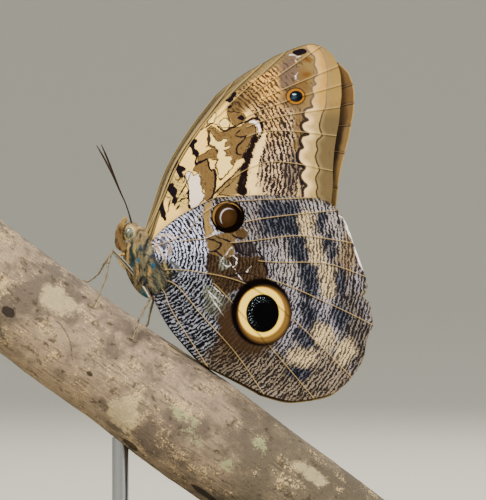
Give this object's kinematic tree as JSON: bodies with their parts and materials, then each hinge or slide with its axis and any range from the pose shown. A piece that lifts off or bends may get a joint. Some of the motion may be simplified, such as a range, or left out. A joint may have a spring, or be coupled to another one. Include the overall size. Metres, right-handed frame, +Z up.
{
  "type": "owl butterfly",
  "caption": "Still, life-size owl butterfly resting with closed wings on a cut length of branch, held by a plain display stand.",
  "frame": {"origin": "centre of the stand's underside, on the floor", "axes": "+Z up; the head points to -X, up the branch; the left wings face -Y"},
  "size_m": [0.149, 0.07, 0.1788],
  "materials": {
    "body_fur": "short grey-brown fur with blue-grey streaks",
    "palp_fur": "orange-tan bristly fur",
    "wing_scales": "matt scales in brown, cream and blue-black waves",
    "eye": "glossy faceted compound eye",
    "antenna_chitin": "dark ringed chitin",
    "leg_scales": "pale scaled chitin",
    "bark": "smooth grey-pink bark with lichen",
    "stand_base": "fine satin",
    "stand_rod": "brushed"
  },
  "bodies": {
    "root": {"head": "body_fur", "thorax": "body_fur", "abdomen": "body_fur", "proboscis": "antenna_chitin", "eye_left": "eye", "eye_right": "eye", "palp_left": "palp_fur", "palp_right": "palp_fur", "antenna_left": "antenna_chitin", "antenna_right": "antenna_chitin", "foreleg_left": "leg_scales", "foreleg_right": "leg_scales", "mid_left_femur": "leg_scales", "mid_left_tibia": "leg_scales", "mid_left_tarsus": "leg_scales", "mid_right_femur": "leg_scales", "mid_right_tibia": "leg_scales", "mid_right_tarsus": "leg_scales", "hind_left_femur": "leg_scales", "hind_left_tibia": "leg_scales", "hind_left_tarsus": "leg_scales", "hind_right_femur": "leg_scales", "hind_right_tibia": "leg_scales", "hind_right_tarsus": "leg_scales", "forewing_left": "wing_scales", "forewing_right": "wing_scales", "hindwing_left": "wing_scales", "hindwing_right": "wing_scales", "branch": "bark", "stand_base": "stand_base", "stand_rod_1": "stand_rod", "stand_rod_2": "stand_rod"}
  },
  "joints": []
}
